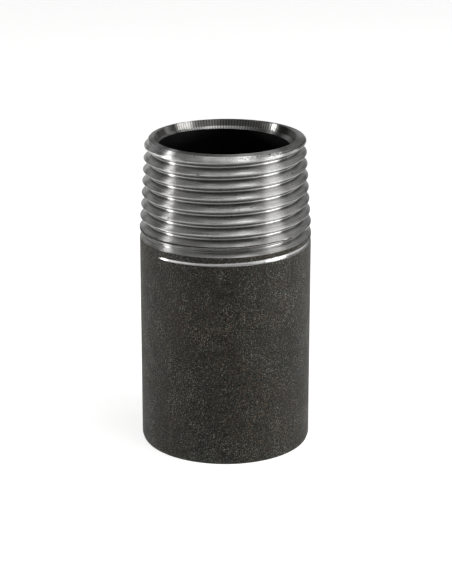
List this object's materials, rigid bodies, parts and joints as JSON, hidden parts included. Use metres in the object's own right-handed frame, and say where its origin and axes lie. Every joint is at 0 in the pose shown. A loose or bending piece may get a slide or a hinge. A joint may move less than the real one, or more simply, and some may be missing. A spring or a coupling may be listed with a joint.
{
  "type": "pipe weld nipple",
  "caption": "Short heavy-wall steel tube with an external taper pipe thread at one end and a plain end for welding, open right through.",
  "frame": {"origin": "centre of the plain end, which it stands on", "axes": "+Z along the tube towards the threaded end, -Y towards the front"},
  "size_m": [0.0338, 0.0338, 0.062],
  "materials": {
    "steel": "black mill scale, bright where the thread and the end are cut"
  },
  "bodies": {
    "root": {"nipple_body": "steel"}
  },
  "joints": []
}
